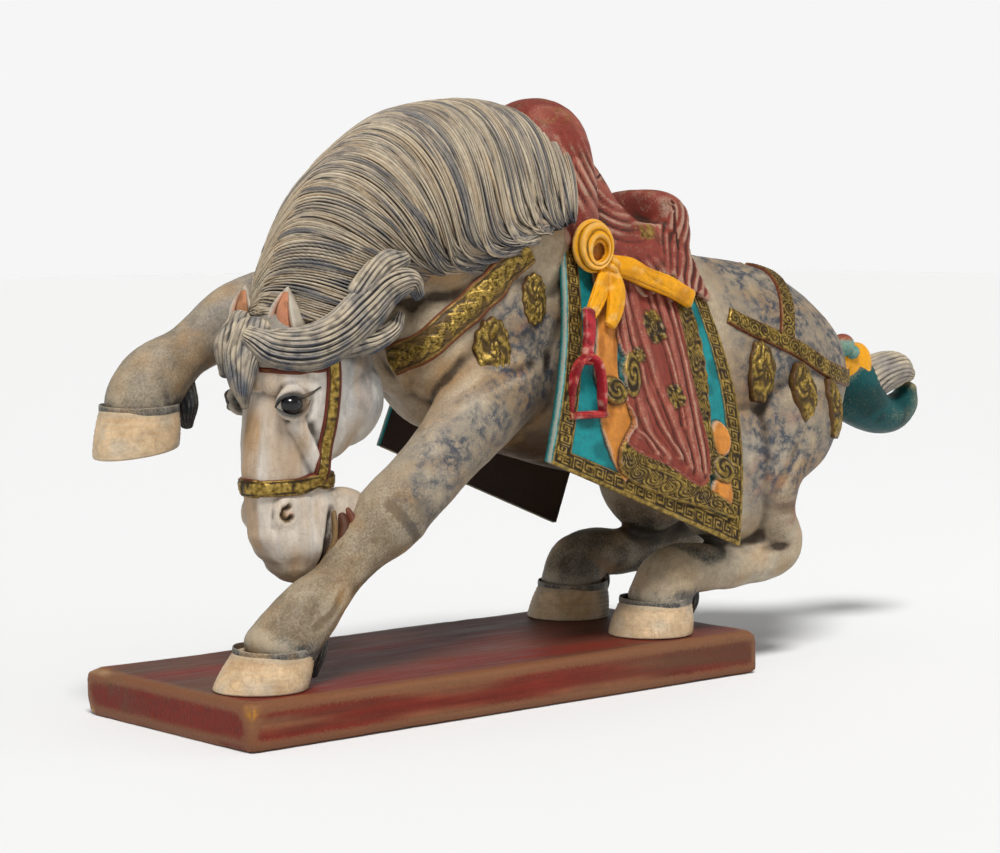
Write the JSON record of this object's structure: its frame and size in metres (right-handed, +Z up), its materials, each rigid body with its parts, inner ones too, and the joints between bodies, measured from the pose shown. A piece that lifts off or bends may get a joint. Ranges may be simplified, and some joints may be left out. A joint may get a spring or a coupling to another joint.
{
  "type": "carved wooden horse",
  "caption": "Carved and painted wooden horse on a low plinth, head bent to its planted foreleg, with combed mane, saddle and cloths.",
  "frame": {"origin": "centre of the plinth's underside", "axes": "+Z up, the horse's head looks towards -X, its left (saddled and pictured) side faces -Y"},
  "size_m": [1.3191, 0.36, 0.7282],
  "materials": {
    "painted_carving": "carved wood with a worn, aged coat of distemper paint and gilding, matt to satin",
    "painted_plinth": "plank with dark red paint rubbed down to the brown wood along its edges"
  },
  "bodies": {
    "root": {"carved_horse": "painted_carving", "plinth": "painted_plinth"}
  },
  "joints": []
}
